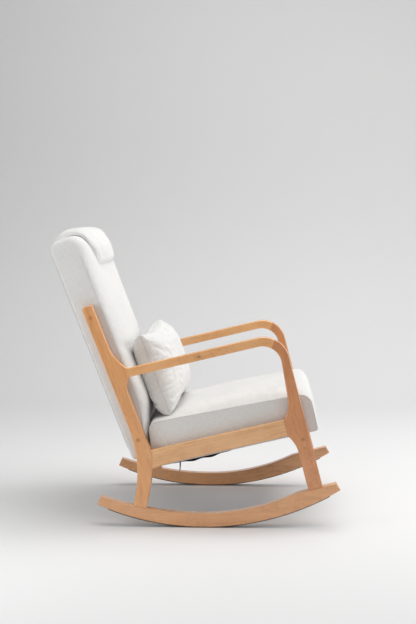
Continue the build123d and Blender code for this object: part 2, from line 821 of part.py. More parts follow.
# Headrest
headrest_front_in = back_seam + back_crown + back_top_swell + headrest_gap
headrest_front_out = headrest_front_in + headrest_front
headrest_rear_in = -rear_panel_thickness - headrest_gap
headrest_rear_out = headrest_rear_in - headrest_rear
headrest_seat = back_top + soft_gap
headrest_front_low = back_top - headrest_front_length
headrest_rear_low = back_top - headrest_rear_length
with BuildPart() as headrest_pad:
    with BuildSketch(side_plane(back_origin, back_rake, headrest_half)) as headrest_outer:
        with BuildLine():
            headrest_corners = (
                (headrest_front_out, headrest_front_low),
                (headrest_front_out, back_top - headrest_cheek_drop),
                (headrest_front_out - headrest_shoulder[0], back_top + headrest_shoulder[1]),
                (headrest_crest[0], back_top + headrest_crest[1]),
                (headrest_rear_out, back_top + headrest_shoulder[1]),
                (headrest_rear_out, headrest_rear_low),
            )
            FilletPolyline(*headrest_corners, radius=headrest_rounds, close=True)
        make_face()
    extrude(amount=2 * headrest_half)
    end_faces = headrest_pad.faces().sort_by(Axis.Y)
    fillet(end_faces[0].edges() + end_faces[-1].edges(), headrest_end_round)
    with BuildSketch(side_plane(back_origin, back_rake, headrest_half)) as headrest_inner:
        with BuildLine():
            headrest_open = min(headrest_front_low, headrest_rear_low) - hem_width
            inner_corners = (
                (headrest_front_in, headrest_open),
                (headrest_front_in, headrest_seat),
                (headrest_rear_in, headrest_seat),
                (headrest_rear_in, headrest_open),
            )
            FilletPolyline(*inner_corners, radius=(0, *headrest_inner_rounds, 0), close=True)
        make_face()
    extrude(amount=2 * headrest_half, mode=Mode.SUBTRACT)
    headrest_fill_half = headrest_half - headrest_end_round
    with BuildSketch(side_plane(back_origin, back_rake, headrest_fill_half)):
        add(headrest_outer.sketch_local)
        add(headrest_inner.sketch_local, mode=Mode.SUBTRACT)
        offset(amount=-headrest_skin, mode=Mode.REPLACE)
    extrude(amount=2 * headrest_fill_half, mode=Mode.SUBTRACT)


# Lumbar pillow, two panels sewn together round their edge
def pillow_section(level, inset, bow, shrink):
    x, z = pillow(level, 0)
    c, s = direction(pillow_lean)
    w = pillow_half_width - inset - shrink
    h = pillow_half_height - inset * 0.75 - shrink
    with BuildSketch(Plane(origin=(x, 0, z), x_dir=(0, 1, 0), z_dir=(c, 0, s))) as section:
        with BuildLine():
            ThreePointArc((-w, -h), (0, -h - bow), (w, -h))
            ThreePointArc((w, -h), (w + bow, 0), (w, h))
            ThreePointArc((w, h), (0, h + bow), (-w, h))
            ThreePointArc((-w, h), (-w - bow, 0), (-w, -h))
        make_face()
    return section.sketch


def pillow_outside(panel):
    return [pillow_section(level, inset, bow, 0) for level, inset, bow in panel]


def pillow_inside(panel):
    squeeze = 1 - cover_thickness / abs(panel[-1][0])
    shrinks = [2 * cover_thickness] + [cover_thickness] * (len(panel) - 1)
    return [pillow_section(row[0] * squeeze, row[1], row[2], shrink) for row, shrink in zip(panel, shrinks)]


with BuildPart() as pillow_front_panel:
    loft(pillow_outside(pillow_front))
    loft(pillow_inside(pillow_front), mode=Mode.SUBTRACT)

with BuildPart() as pillow_rear_panel:
    loft(pillow_outside(pillow_rear))
    loft(pillow_inside(pillow_rear), mode=Mode.SUBTRACT)

pairs = {
    "rocker": rocker_right,
    "rocker_strip": rocker_strip_right,
    "rear_leg": rear_leg_right,
    "front_leg": front_leg_right,
    "arm": arm_right,
    "side_rail": side_rail_right,
    "seat_board": seat_board_right,
    "back_stile": back_stile_right,
}
pieces = {
    "front_cross_rail": front_cross_rail,
    "frame_dowels": frame_dowels,
    "frame_bolts": frame_bolts,
    "insert_nuts": insert_nuts,
    "bolt_plugs": bolt_plugs,
    "seat_cover": seat_cover,
    "seat_board_front": seat_board_front,
    "seat_board_rear": seat_board_rear,
    "seat_corner_blocks": seat_corner_blocks,
    "seat_deck": seat_deck,
    "seat_foam": seat_foam,
    "seat_screws": seat_screws,
    "dust_cover": dust_cover,
    "dust_tail": dust_tail,
    "back_cover": back_cover,
    "back_rear_panel": back_rear_panel,
    "back_board_top": back_board_top,
    "back_board_middle": back_board_middle,
    "back_board_bottom": back_board_bottom,
    "back_webbing": back_webbing,
    "back_foam": back_foam,
    "headrest_pad": headrest_pad,
    "pillow_front_panel": pillow_front_panel,
    "pillow_rear_panel": pillow_rear_panel,
}

for name, right in pairs.items():
    with BuildPart() as left:
        mirror(right.part, about=Plane.XZ)
    pieces[name + "_right"] = right
    pieces[name + "_left"] = left

for name, piece in pieces.items():
    piece.part.label = name
    export_step(piece.part, "parts/" + name + ".step")
    print(name, round(piece.part.volume / 1000, 1), "cm3", len(piece.part.solids()), "solids")
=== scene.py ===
import math
import bpy
import bmesh
import numpy as np
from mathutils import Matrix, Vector


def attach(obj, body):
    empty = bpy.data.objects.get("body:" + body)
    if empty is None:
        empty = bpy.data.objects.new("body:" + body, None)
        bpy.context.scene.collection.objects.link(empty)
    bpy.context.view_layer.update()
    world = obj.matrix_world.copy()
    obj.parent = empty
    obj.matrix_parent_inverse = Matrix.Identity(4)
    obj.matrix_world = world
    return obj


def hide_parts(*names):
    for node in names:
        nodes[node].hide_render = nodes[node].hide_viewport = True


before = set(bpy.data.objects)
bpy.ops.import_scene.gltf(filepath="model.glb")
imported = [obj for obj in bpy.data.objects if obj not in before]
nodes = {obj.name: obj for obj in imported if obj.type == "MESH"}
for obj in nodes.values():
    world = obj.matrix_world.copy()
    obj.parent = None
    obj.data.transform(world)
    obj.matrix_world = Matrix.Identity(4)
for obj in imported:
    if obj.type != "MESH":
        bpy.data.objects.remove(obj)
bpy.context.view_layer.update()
scene = bpy.context.scene
scene.view_settings.view_transform = "Standard"
print("frame loaded:", len(nodes), "solids")


# Places along the sloping members, (along, across) in the side view

def tilted(origin, degrees):
    c, s = math.cos(math.radians(degrees)), math.sin(math.radians(degrees))

    def place(a, b, y=0.0):
        return np.array((origin[0] + a * c - b * s, y, origin[1] + a * s + b * c))

    return place


railLine = ((0.0, 0.2915), 13.4)
backLine = ((-0.305, 0.407), 21.2)
pillowLine = ((-0.1574, 0.4872), 20.7)
onRail, onBack, onPillow = tilted(*railLine), tilted(*backLine), tilted(*pillowLine)


# Shader groups shared by the finishes

def feed(tree, socket, value):
    if isinstance(value, bpy.types.NodeSocket):
        tree.links.new(value, socket)
    else:
        socket.default_value = value


def addNode(tree, kind, **inputs):
    # i0, i1 and so on are sockets by number, other words by name
    node = tree.nodes.new(kind)
    for key, value in inputs.items():
        numbered = key[0] == "i" and key[1:].isdigit()
        feed(tree, node.inputs[int(key[1:]) if numbered else key], value)
    return node


def calc(tree, operation, a, b=0.0, c=0.0, clamp=False):
    node = addNode(tree, "ShaderNodeMath", i0=a, i1=b, i2=c)
    node.operation = operation
    node.use_clamp = clamp
    return node.outputs[0]


def mixColour(tree, factor, a, b):
    node = tree.nodes.new("ShaderNodeMix")
    node.data_type = "RGBA"
    for socket, value in ((0, factor), (6, a), (7, b)):
        feed(tree, node.inputs[socket], value)
    return node.outputs[2]


def stretched(tree, vector, scale):
    node = addNode(tree, "ShaderNodeVectorMath", i0=vector, i1=scale)
    node.operation = "MULTIPLY"
    return node.outputs[0]


def noiseAt(tree, vector, scale, detail=3.0, rough=0.5):
    node = addNode(tree, "ShaderNodeTexNoise", Vector=vector, Scale=scale, Detail=detail, Roughness=rough)
    return node.outputs[0]


def ramp(tree, value, low, high, outLow=0.0, outHigh=1.0):
    node = addNode(tree, "ShaderNodeMapRange", i0=value, i1=low, i2=high, i3=outLow, i4=outHigh)
    node.interpolation_type = "SMOOTHSTEP"
    return node.outputs[0]


def newGroup(name, inputs, outputs):
    tree = bpy.data.node_groups.new(name, "ShaderNodeTree")
    for label, kind, value in inputs:
        socket = tree.interface.new_socket(label, in_out="INPUT", socket_type="NodeSocket" + kind)
        if value is not None:
            socket.default_value = value
    for label, kind in outputs:
        tree.interface.new_socket(label, in_out="OUTPUT", socket_type="NodeSocket" + kind)
    return tree, tree.nodes.new("NodeGroupInput").outputs, tree.nodes.new("NodeGroupOutput").inputs


def makeLinenWeave():
    tree, given, result = newGroup(
        "linenWeave",
        [("Cloth", "Vector", None), ("Pitch", "Float", 0.0011), ("Yarn", "Color", None),
         ("Shade", "Color", None), ("Melange", "Float", 0.5)],
        [("Color", "Color"), ("Roughness", "Float"), ("Height", "Float")])
    cloth = given["Cloth"]
    perThread = calc(tree, "DIVIDE", 2 * math.pi, given["Pitch"])
    split = addNode(tree, "ShaderNodeSeparateXYZ", Vector=cloth)
    wobble = calc(tree, "MULTIPLY", noiseAt(tree, cloth, 220.0, 2.0), 0.0016)
    warp = calc(tree, "SINE", calc(tree, "MULTIPLY", calc(tree, "ADD", split.outputs[0], wobble), perThread))
    weft = calc(tree, "SINE", calc(tree, "MULTIPLY", calc(tree, "ADD", split.outputs[1], wobble), perThread))
    over = calc(tree, "MULTIPLY_ADD", calc(tree, "MULTIPLY", warp, weft), 0.5, 0.5)
    slubWarp = noiseAt(tree, stretched(tree, cloth, (700.0, 55.0, 1.0)), 1.0, 2.0)
    slubWeft = noiseAt(tree, stretched(tree, cloth, (60.0, 820.0, 1.0)), 1.0, 2.0)
    slub = calc(tree, "ADD", slubWarp, slubWeft)
    cloud = noiseAt(tree, cloth, 7.0, 4.0, 0.6)
    fleck = ramp(tree, slub, 0.82, 1.26)
    tone = calc(tree, "MULTIPLY", fleck, given["Melange"])
    tone = calc(tree, "MULTIPLY_ADD", ramp(tree, cloud, 0.35, 0.7), 0.16, tone)
    # painted shade: the dips between threads are mixed towards the darker yarn
    tone = calc(tree, "MULTIPLY_ADD", over, -0.14, calc(tree, "ADD", tone, 0.07), clamp=True)
    tree.links.new(mixColour(tree, tone, given["Yarn"], given["Shade"]), result["Color"])
    tree.links.new(calc(tree, "MULTIPLY_ADD", slub, 0.1, 0.8), result["Roughness"])
    tree.links.new(calc(tree, "MULTIPLY_ADD", slub, 0.5, over), result["Height"])
    return tree


def makeRubberwoodGrain():
    tree, given, result = newGroup(
        "rubberwoodGrain",
        [("Along", "Vector", None), ("Pale", "Color", None), ("Deep", "Color", None), ("Pore", "Color", None),
         ("Bands", "Float", 0.5), ("Flecks", "Float", 0.5), ("Seed", "Float", 0.0)],
        [("Color", "Color"), ("Roughness", "Float"), ("Height", "Float")])
    along = given["Along"]
    shift = addNode(tree, "ShaderNodeCombineXYZ", X=given["Seed"], Y=given["Seed"], Z=given["Seed"])
    moved = addNode(tree, "ShaderNodeVectorMath", i0=along, i1=shift.outputs[0]).outputs[0]
    bend = noiseAt(tree, stretched(tree, moved, (3.4, 7.0, 7.0)), 1.0, 3.0, 0.6)
    split = addNode(tree, "ShaderNodeSeparateXYZ", Vector=moved)
    across = calc(tree, "MULTIPLY_ADD", bend, 0.11, split.outputs[2])
    across = calc(tree, "MULTIPLY_ADD", split.outputs[1], 0.45, across)
    rings = calc(tree, "SINE", calc(tree, "MULTIPLY", across, 430.0))
    ringPatch = ramp(tree, noiseAt(tree, stretched(tree, moved, (5.0, 22.0, 22.0)), 1.0, 2.0), 0.4, 0.64)
    rings = calc(tree, "MULTIPLY", ramp(tree, rings, -0.2, 1.0), ringPatch)
    broad = noiseAt(tree, stretched(tree, moved, (3.0, 30.0, 30.0)), 1.0, 4.0, 0.6)
    streak = noiseAt(tree, stretched(tree, moved, (9.0, 210.0, 210.0)), 1.0, 3.0, 0.6)
    fibre = noiseAt(tree, stretched(tree, moved, (24.0, 900.0, 900.0)), 1.0, 2.0)
    pore = ramp(tree, noiseAt(tree, stretched(tree, moved, (85.0, 1400.0, 1400.0)), 1.0, 1.0), 0.55, 0.69)
    poreCloud = ramp(tree, noiseAt(tree, stretched(tree, moved, (6.0, 30.0, 30.0)), 1.0, 2.0), 0.38, 0.66)
    pore = calc(tree, "MULTIPLY", calc(tree, "MULTIPLY", pore, poreCloud), given["Flecks"])
    tone = calc(tree, "MULTIPLY", rings, given["Bands"])
    tone = calc(tree, "MULTIPLY_ADD", ramp(tree, broad, 0.3, 0.74), 0.5, tone)
    tone = calc(tree, "MULTIPLY_ADD", calc(tree, "SUBTRACT", streak, 0.46), 0.95, tone)
    tone = calc(tree, "MULTIPLY_ADD", calc(tree, "SUBTRACT", fibre, 0.5), 0.5, tone, clamp=True)
    body = mixColour(tree, tone, given["Pale"], given["Deep"])
    tree.links.new(mixColour(tree, pore, body, given["Pore"]), result["Color"])
    dull = calc(tree, "MULTIPLY_ADD", pore, 0.2, 0.27)
    tree.links.new(calc(tree, "MULTIPLY_ADD", fibre, 0.16, dull), result["Roughness"])
    tree.links.new(calc(tree, "SUBTRACT", calc(tree, "MULTIPLY", fibre, 0.5), pore), result["Height"])
    return tree


def makeWoodKnot():
    tree, given, result = newGroup(
        "woodKnot", [("Place", "Vector", None), ("Centre", "Vector", None), ("Radius", "Float", 0.004)],
        [("Mask", "Float")])
    gap = addNode(tree, "ShaderNodeVectorMath", i0=given["Place"], i1=given["Centre"])
    gap.operation = "SUBTRACT"
    reach = addNode(tree, "ShaderNodeVectorMath", i0=stretched(tree, gap.outputs[0], (0.7, 0.3, 1.0)))
    reach.operation = "LENGTH"
    rough = noiseAt(tree, given["Place"], 420.0, 2.0)
    ragged = calc(tree, "MULTIPLY_ADD", rough, 0.003, reach.outputs["Value"])
    near = calc(tree, "DIVIDE", ragged, given["Radius"])
    core = calc(tree, "SUBTRACT", 1.0, ramp(tree, near, 0.55, 1.0))
    halo = calc(tree, "SUBTRACT", 1.0, ramp(tree, near, 1.0, 2.6))
    dark = calc(tree, "MULTIPLY", core, 0.6)
    tree.links.new(calc(tree, "MULTIPLY_ADD", halo, 0.35, dark, clamp=True), result["Mask"])
    return tree


def makeEdgeWearAndHighlight():
    # the convex rounded edges are paled, partly as rubbed edges and partly as a painted highlight along the
    # roundovers
    tree, given, result = newGroup("edgeWearAndHighlight", [("Amount", "Float", 0.5)], [("Mask", "Float")])
    geometry = tree.nodes.new("ShaderNodeNewGeometry")
    place = tree.nodes.new("ShaderNodeTexCoord").outputs["Object"]
    edge = ramp(tree, geometry.outputs["Pointiness"], 0.505, 0.56)
    patch = ramp(tree, noiseAt(tree, place, 24.0, 3.0), 0.35, 0.65)
    tree.links.new(calc(tree, "MULTIPLY", calc(tree, "MULTIPLY", edge, patch), given["Amount"]), result["Mask"])
    return tree


def makeFineDust():
    tree, given, result = newGroup("fineDust", [("Place", "Vector", None), ("Amount", "Float", 0.5)],
                                   [("Mask", "Float"), ("Height", "Float")])
    speck = noiseAt(tree, given["Place"], 900.0, 2.0)
    cloud = noiseAt(tree, given["Place"], 14.0, 4.0, 0.6)
    mask = calc(tree, "MULTIPLY", ramp(tree, cloud, 0.4, 0.75), calc(tree, "MULTIPLY_ADD", speck, 0.6, 0.4))
    tree.links.new(calc(tree, "MULTIPLY", mask, given["Amount"]), result["Mask"])
    tree.links.new(speck, result["Height"])
    return tree


linenWeave = makeLinenWeave()
rubberwoodGrain = makeRubberwoodGrain()
woodKnot = makeWoodKnot()
edgeWearAndHighlight = makeEdgeWearAndHighlight()
fineDust = makeFineDust()


def newFinish(name):
    material = bpy.data.materials.new(name)
    material.use_nodes = True
    tree = material.node_tree
    shader = tree.nodes["Principled BSDF"]
    return material, tree, shader


def useGroup(tree, group, **inputs):
    node = tree.nodes.new("ShaderNodeGroup")
    node.node_tree = group
    for key, value in inputs.items():
        feed(tree, node.inputs[key], value)
    return node.outputs


def addBump(tree, shader, height, strength, distance):
    bump = addNode(tree, "ShaderNodeBump", Strength=strength, Distance=distance, Height=height)
    tree.links.new(bump.outputs[0], shader.inputs["Normal"])


def linenFinish(name, yarn, shade, melange=0.5, pitch=0.0011, bump=0.35):
    material, tree, shader = newFinish(name)
    uv = tree.nodes.new("ShaderNodeTexCoord").outputs["UV"]
    weave = useGroup(tree, linenWeave, Cloth=uv, Pitch=pitch, Yarn=(*yarn, 1), Shade=(*shade, 1),
                     Melange=melange)
    tree.links.new(weave["Color"], shader.inputs["Base Color"])
    tree.links.new(weave["Roughness"], shader.inputs["Roughness"])
    shader.inputs["Sheen Weight"].default_value = 0.12
    shader.inputs["Sheen Roughness"].default_value = 0.5
    shader.inputs["Specular IOR Level"].default_value = 0.2
    addBump(tree, shader, weave["Height"], bump, 0.0004)
    return material


lacquer = dict(roughness=0.13, ior=1.65)


def woodFinish(name, pale, deep, pore, turn, seed, bands=0.3, flecks=0.5, wearAndHighlight=0.22, coat=0.8,
               tip=(0, 0), knot=None):
    material, tree, shader = newFinish(name)
    place = tree.nodes.new("ShaderNodeTexCoord").outputs["Object"]
    mapping = addNode(tree, "ShaderNodeMapping", Vector=place, Rotation=(tip[0], math.radians(turn), tip[1]))
    grain = useGroup(tree, rubberwoodGrain, Along=mapping.outputs[0], Pale=(*pale, 1), Deep=(*deep, 1),
                     Pore=(*pore, 1), Bands=bands, Flecks=flecks, Seed=seed)
    # painted highlight: the rounded edges are mixed towards a paler tone, together with some rubbing
    wornAndHighlit = useGroup(tree, edgeWearAndHighlight, Amount=wearAndHighlight)
    wearAndHighlightTone = tuple(min(1.0, c * 1.15 + 0.10) for c in pale)
    colour = mixColour(tree, wornAndHighlit["Mask"], grain["Color"], (*wearAndHighlightTone, 1))
    if knot:
        spot = useGroup(tree, woodKnot, Place=place, Centre=knot[:3], Radius=knot[3])
        colour = mixColour(tree, spot["Mask"], colour, (*[c * 0.6 for c in pore], 1))
    tree.links.new(colour, shader.inputs["Base Color"])
    tree.links.new(grain["Roughness"], shader.inputs["Roughness"])
    shader.inputs["Coat Weight"].default_value = coat
    shader.inputs["Coat Roughness"].default_value = lacquer["roughness"]
    shader.inputs["Coat IOR"].default_value = lacquer["ior"]
    addBump(tree, shader, grain["Height"], 0.18, 0.0004)
    return material


def dustyFinish(name, colour, dust, amount, roughness, metallic=0.0, bump=0.3):
    material, tree, shader = newFinish(name)
    place = tree.nodes.new("ShaderNodeTexCoord").outputs["Object"]
    fine = useGroup(tree, fineDust, Place=place, Amount=amount)
    tree.links.new(mixColour(tree, fine["Mask"], (*colour, 1), (*dust, 1)), shader.inputs["Base Color"])
    tree.links.new(calc(tree, "MULTIPLY_ADD", fine["Height"], 0.2, roughness - 0.1), shader.inputs["Roughness"])
    shader.inputs["Metallic"].default_value = metallic
    addBump(tree, shader, fine["Height"], bump, 0.0003)
    return material


def dress(finish, *names):
    for name in names:
        nodes[name].data.materials.clear()
        nodes[name].data.materials.append(finish)


# Wood of the frame, each member cut along its own length
# each member's tone was also set to match its brightness under these lamps, so besides the wood's own colour it
# holds painted light and shade, such as the brighter arm and the darker front leg
woodTones = {
    "arm": dict(pale=(0.90, 0.46, 0.18), deep=(0.77, 0.345, 0.112), pore=(0.33, 0.13, 0.045)),
    "frontLeg": dict(pale=(0.74, 0.305, 0.112), deep=(0.52, 0.19, 0.060), pore=(0.27, 0.10, 0.035)),
    "rearLeg": dict(pale=(0.85, 0.405, 0.15), deep=(0.64, 0.265, 0.086), pore=(0.32, 0.125, 0.04)),
    "rocker": dict(pale=(0.82, 0.41, 0.175), deep=(0.60, 0.265, 0.100), pore=(0.30, 0.125, 0.05)),
    "rail": dict(pale=(0.86, 0.48, 0.215), deep=(0.66, 0.315, 0.124), pore=(0.35, 0.15, 0.06)),
    "plug": dict(pale=(0.68, 0.26, 0.05), deep=(0.48, 0.16, 0.025), pore=(0.25, 0.08, 0.015)),
    "inner": dict(pale=(0.72, 0.56, 0.38), deep=(0.58, 0.42, 0.26), pore=(0.4, 0.27, 0.16)),
}
grainTurns = {"arm": 13.5, "frontLeg": 102.0, "rearLeg": 106.0, "rocker": 4.0, "rail": 13.4}
knots = {"arm_right": (-0.0094, -0.319, 0.5574, 0.0042)}  # place and radius
for side, seed in (("right", 0.37), ("left", 1.91)):
    for node, tone, bands, flecks in (
        ("arm", "arm", 0.3, 0.8),
        ("front_leg", "frontLeg", 0.3, 0.75),
        ("rear_leg", "rearLeg", 0.28, 0.7),
        ("rocker", "rocker", 0.32, 0.75),
        ("side_rail", "rail", 0.4, 0.75),
    ):
        finish = woodFinish(tone + "Wood" + side.title(), turn=grainTurns[tone], seed=seed + len(node),
                            bands=bands, flecks=flecks, knot=knots.get(node + "_" + side), **woodTones[tone])
        dress(finish, node + "_" + side)
acrossChair = dict(turn=0, tip=(0, math.pi / 2))
dress(woodFinish("plugWood", seed=4.2, bands=0.6, flecks=0.3, wearAndHighlight=0.1, **acrossChair, **woodTones["plug"]),
      "bolt_plugs")
dress(woodFinish("crossRailWood", seed=6.3, **acrossChair, **woodTones["rail"]), "front_cross_rail")
dress(woodFinish("sawnInnerWood", seed=7.7, coat=0.0, **acrossChair, **woodTones["inner"]),
      "frame_dowels", "seat_board_front", "seat_board_rear", "seat_board_left", "seat_board_right",
      "seat_corner_blocks", "seat_deck", "back_stile_left", "back_stile_right",
      "back_board_top", "back_board_middle", "back_board_bottom")
dress(dustyFinish("zincSteel", (0.55, 0.56, 0.58), (0.35, 0.35, 0.36), 0.5, 0.35, 1.0),
      "frame_bolts", "seat_screws")
dress(dustyFinish("brassInsert", (0.72, 0.55, 0.26), (0.45, 0.33, 0.14), 0.5, 0.35, 1.0), "insert_nuts")
dress(dustyFinish("stripRubber", (0.035, 0.035, 0.037), (0.16, 0.155, 0.15), 0.6, 0.7, bump=0.5),
      "rocker_strip_left", "rocker_strip_right")
print("wood and fittings finished")


# Cloth forms: four-sided profiles carried across the chair, with flat panels let in at both ends

def arcBetween(p, corner, q, radius, steps):
    a, b = np.array(p, float), np.array(q, float)
    c = np.array(corner, float)
    da, db = (a - c) / np.linalg.norm(a - c), (b - c) / np.linalg.norm(b - c)
    half = math.acos(max(-1.0, min(1.0, float(da @ db)))) / 2
    reach = radius / math.tan(half)
    middle = c + (da + db) / np.linalg.norm(da + db) * (radius / math.sin(half))
    start, end = c + da * reach - middle, c + db * reach - middle
    turn = math.atan2(start[0] * end[1] - start[1] * end[0], float(start @ end))
    points = []
    for k in range(steps + 1):
        t = turn * k / steps
        points.append(middle + (start[0] * math.cos(t) - start[1] * math.sin(t),
                                start[0] * math.sin(t) + start[1] * math.cos(t)))
    return points


def roundedSides(corners, radii, breaks, steps=12):
    count = len(corners)
    arcs = [arcBetween(corners[i - 1], corners[i], corners[(i + 1) % count], radii[i], steps)
            for i in range(count)]
    sides = []
    for k, first in enumerate(breaks):
        last = breaks[(k + 1) % len(breaks)]
        points = list(arcs[first][steps // 2:])
        i = (first + 1) % count
        while i != last:
            points += arcs[i]
            i = (i + 1) % count
        points += arcs[last][: steps // 2 + 1]
        sides.append(np.array(points))
    return sides


def evenly(points, count):
    lengths = np.concatenate(([0.0], np.cumsum(np.linalg.norm(np.diff(points, axis=0), axis=1))))
    want = np.linspace(0, 1, count + 1) * lengths[-1]
    return np.stack([np.interp(want, lengths, points[:, k]) for k in range(points.shape[1])], axis=1)


def meshObject(name, verts, faces, uvs, finish):
    mesh = bpy.data.meshes.new(name)
    mesh.from_pydata([tuple(v) for v in verts], [], faces)
    layer = mesh.uv_layers.new(name="cloth")
    layer.data.foreach_set("uv", np.array(uvs, np.float32).ravel())
    mesh.polygons.foreach_set("use_smooth", np.ones(len(faces), bool))
    mesh.materials.append(finish)
    made = bpy.data.objects.new(name, mesh)
    scene.collection.objects.link(made)
    return made


def boxedForm(name, columns, sectionAt, counts, place, finish, panelPuff=0.0):
    # sectionAt(y) gives four sides in turn: under, front, over, rear
    verts, faces, uvs = [], [], []
    n = 2 * (counts[0] + counts[1])
    seamPoints = {}
    for y in columns:
        loop = []
        for side, count in zip(sectionAt(y), (counts[0], counts[1], counts[0], counts[1])):
            loop += list(evenly(side, count)[:-1])
        verts += [place(a, b, y) for a, b in loop]
    for k in range(len(columns) - 1):
        ring = np.array(verts[k * n:(k + 1) * n])
        steps = np.linalg.norm(np.roll(ring, -1, axis=0) - ring, axis=1)
        length = np.concatenate(([0.0], np.cumsum(steps)))
        for i in range(n):
            j = (i + 1) % n
            faces.append((k * n + i, k * n + j, (k + 1) * n + j, (k + 1) * n + i))
            uvs += [(columns[k], length[i]), (columns[k], length[i + 1]),
                    (columns[k + 1], length[i + 1]), (columns[k + 1], length[i])]
    a, b = counts
    for end in (0, len(columns) - 1):
        ring = [end * n + i for i in range(n)]
        under = [ring[i] for i in range(a + 1)]
        front = [ring[a + i] for i in range(b + 1)]
        over = [ring[2 * a + b - i] for i in range(a + 1)]
        rear = [ring[(n - i) % n] for i in range(b + 1)]
        grid = np.zeros((a + 1, b + 1), int)
        for i in range(a + 1):
            for j in range(b + 1):
                s, t = i / a, j / b
                if j == 0:
                    grid[i, j] = under[i]
                elif j == b:
                    grid[i, j] = over[i]
                elif i == 0:
                    grid[i, j] = rear[j]
                elif i == a:
                    grid[i, j] = front[j]
                else:
                    p = (1 - t) * verts[under[i]] + t * verts[over[i]]
                    p = p + (1 - s) * verts[rear[j]] + s * verts[front[j]]
                    p = p - (1 - s) * (1 - t) * verts[under[0]] - s * (1 - t) * verts[under[a]]
                    p = p - (1 - s) * t * verts[over[0]] - s * t * verts[over[a]]
                    p[1] += (1 if end else -1) * panelPuff * math.sin(math.pi * s) * math.sin(math.pi * t)
                    grid[i, j] = len(verts)
                    verts.append(p)
        for i in range(a):
            for j in range(b):
                face = (grid[i, j], grid[i + 1, j], grid[i + 1, j + 1], grid[i, j + 1])
                faces.append(tuple(int(v) for v in (face if end == 0 else face[::-1])))
                uvs += [(verts[v][0], verts[v][2]) for v in faces[-1]]
        seamPoints[end] = ring
    made = meshObject(name, verts, faces, uvs, finish)
    turnOut(made)
    return made, seamPoints


def turnOut(made):
    work = bmesh.new()
    work.from_mesh(made.data)
    bmesh.ops.recalc_face_normals(work, faces=work.faces)
    work.to_mesh(made.data)
    work.free()


def positions(made):
    flat = np.zeros(len(made.data.vertices) * 3)
    made.data.vertices.foreach_get("co", flat)
    return flat.reshape(-1, 3)


def setPositions(made, points):
    made.data.vertices.foreach_set("co", np.asarray(points, np.float32).ravel())
    made.data.update()


def smoothOver(made):
    modifier = made.modifiers.new("smooth", "SUBSURF")
    modifier.levels = modifier.render_levels = 1
    modifier.boundary_smooth = "PRESERVE_CORNERS"


def thicken(made, amount):
    made.modifiers.new("thick", "SOLIDIFY").thickness = amount


def sheetGrid(counts, size, place):
    # a flat sheet, place(a, b) with both from -1 to 1
    nu, nv = counts
    verts = [place(2 * i / nu - 1, 2 * j / nv - 1) for i in range(nu + 1) for j in range(nv + 1)]
    faces, uvs = [], []
    for i in range(nu):
        for j in range(nv):
            quad = [(i, j), (i + 1, j), (i + 1, j + 1), (i, j + 1)]
            faces.append(tuple(q[0] * (nv + 1) + q[1] for q in quad))
            uvs += [(q[0] / nu * size[0], q[1] / nv * size[1]) for q in quad]
    return verts, faces, uvs


def creaseAlong(made, path, amount):
    pairs = {frozenset(pair) for pair in zip(path, path[1:])}
    layer = made.data.attributes.get("crease_edge") or made.data.attributes.new("crease_edge", "FLOAT", "EDGE")
    for edge in made.data.edges:
        if frozenset(edge.vertices) in pairs:
            layer.data[edge.index].value = amount


def seamTube(name, path, radius, finish, closed=True, sides=6):
    path = np.array(path, float)
    count = len(path)
    verts, faces, uvs = [], [], []
    ahead = np.roll(path, -1, axis=0) - np.roll(path, 1, axis=0)
    if not closed:
        ahead[0], ahead[-1] = path[1] - path[0], path[-1] - path[-2]
    run = 0.0
    runs = []
    for k in range(count):
        t = ahead[k] / np.linalg.norm(ahead[k])
        u = np.cross(t, (0, 1, 0))
        u = np.cross(t, (1, 0, 0)) if np.linalg.norm(u) < 0.2 else u
        u /= np.linalg.norm(u)
        w = np.cross(t, u)
        for s in range(sides):
            g = 2 * math.pi * s / sides
            verts.append(path[k] + radius * (math.cos(g) * u + math.sin(g) * w))
        runs.append(run)
        run += np.linalg.norm(path[(k + 1) % count] - path[k])
    runs.append(run)
    for k in range(count if closed else count - 1):
        for s in range(sides):
            e, m = (s + 1) % sides, (k + 1) % count
            faces.append((k * sides + s, k * sides + e, m * sides + e, m * sides + s))
            g0, g1 = radius * 6.283 * s / sides, radius * 6.283 * (s + 1) / sides
            uvs += [(runs[k], g0), (runs[k], g1), (runs[k + 1], g1), (runs[k + 1], g0)]
    if not closed:
        faces.append(tuple(range(sides - 1, -1, -1)))
        faces.append(tuple((count - 1) * sides + s for s in range(sides)))
        uvs += [(0, 0)] * (2 * sides)
    made = meshObject(name, verts, faces, uvs, finish)
    turnOut(made)
    return made


def mixedColumns(half, plain, near):
    inner = np.linspace(-half + near[-1], half - near[-1], plain + 1)
    left = [-half + d for d in near[:-1]]
    return [*left, *inner, *[-y for y in reversed(left)]]


def swellAt(y, half, roll, ease):
    t = np.minimum(1.0, np.abs(y) / half)
    return np.maximum(0.0, 1 - t ** roll) ** ease


def roundOver(y, half, width):
    # share by which a rounded end draws the section in
    t = max(0.0, (width - half + abs(y)) / width)
    return 1 - math.sqrt(max(0.0, 1 - t * t))


def seenFrom(origin, degrees, points):
    c, s = math.cos(math.radians(degrees)), math.sin(math.radians(degrees))
    dx, dz = points[:, 0] - origin[0], points[:, 2] - origin[1]
    return dx * c + dz * s, dz * c - dx * s, np.array((c, 0.0, s)), np.array((-s, 0.0, c))


def joinInto(made, extra):
    # the extra piece's faces take the next material slot
    slot = len(made.data.materials)
    made.data.materials.append(extra.data.materials[0])
    extra.data.polygons.foreach_set("material_index", np.full(len(extra.data.polygons), slot, np.int32))
    work = bmesh.new()
    work.from_mesh(made.data)
    work.from_mesh(extra.data)
    work.to_mesh(made.data)
    work.free()
    spare = extra.data
    bpy.data.objects.remove(extra)
    bpy.data.meshes.remove(spare)


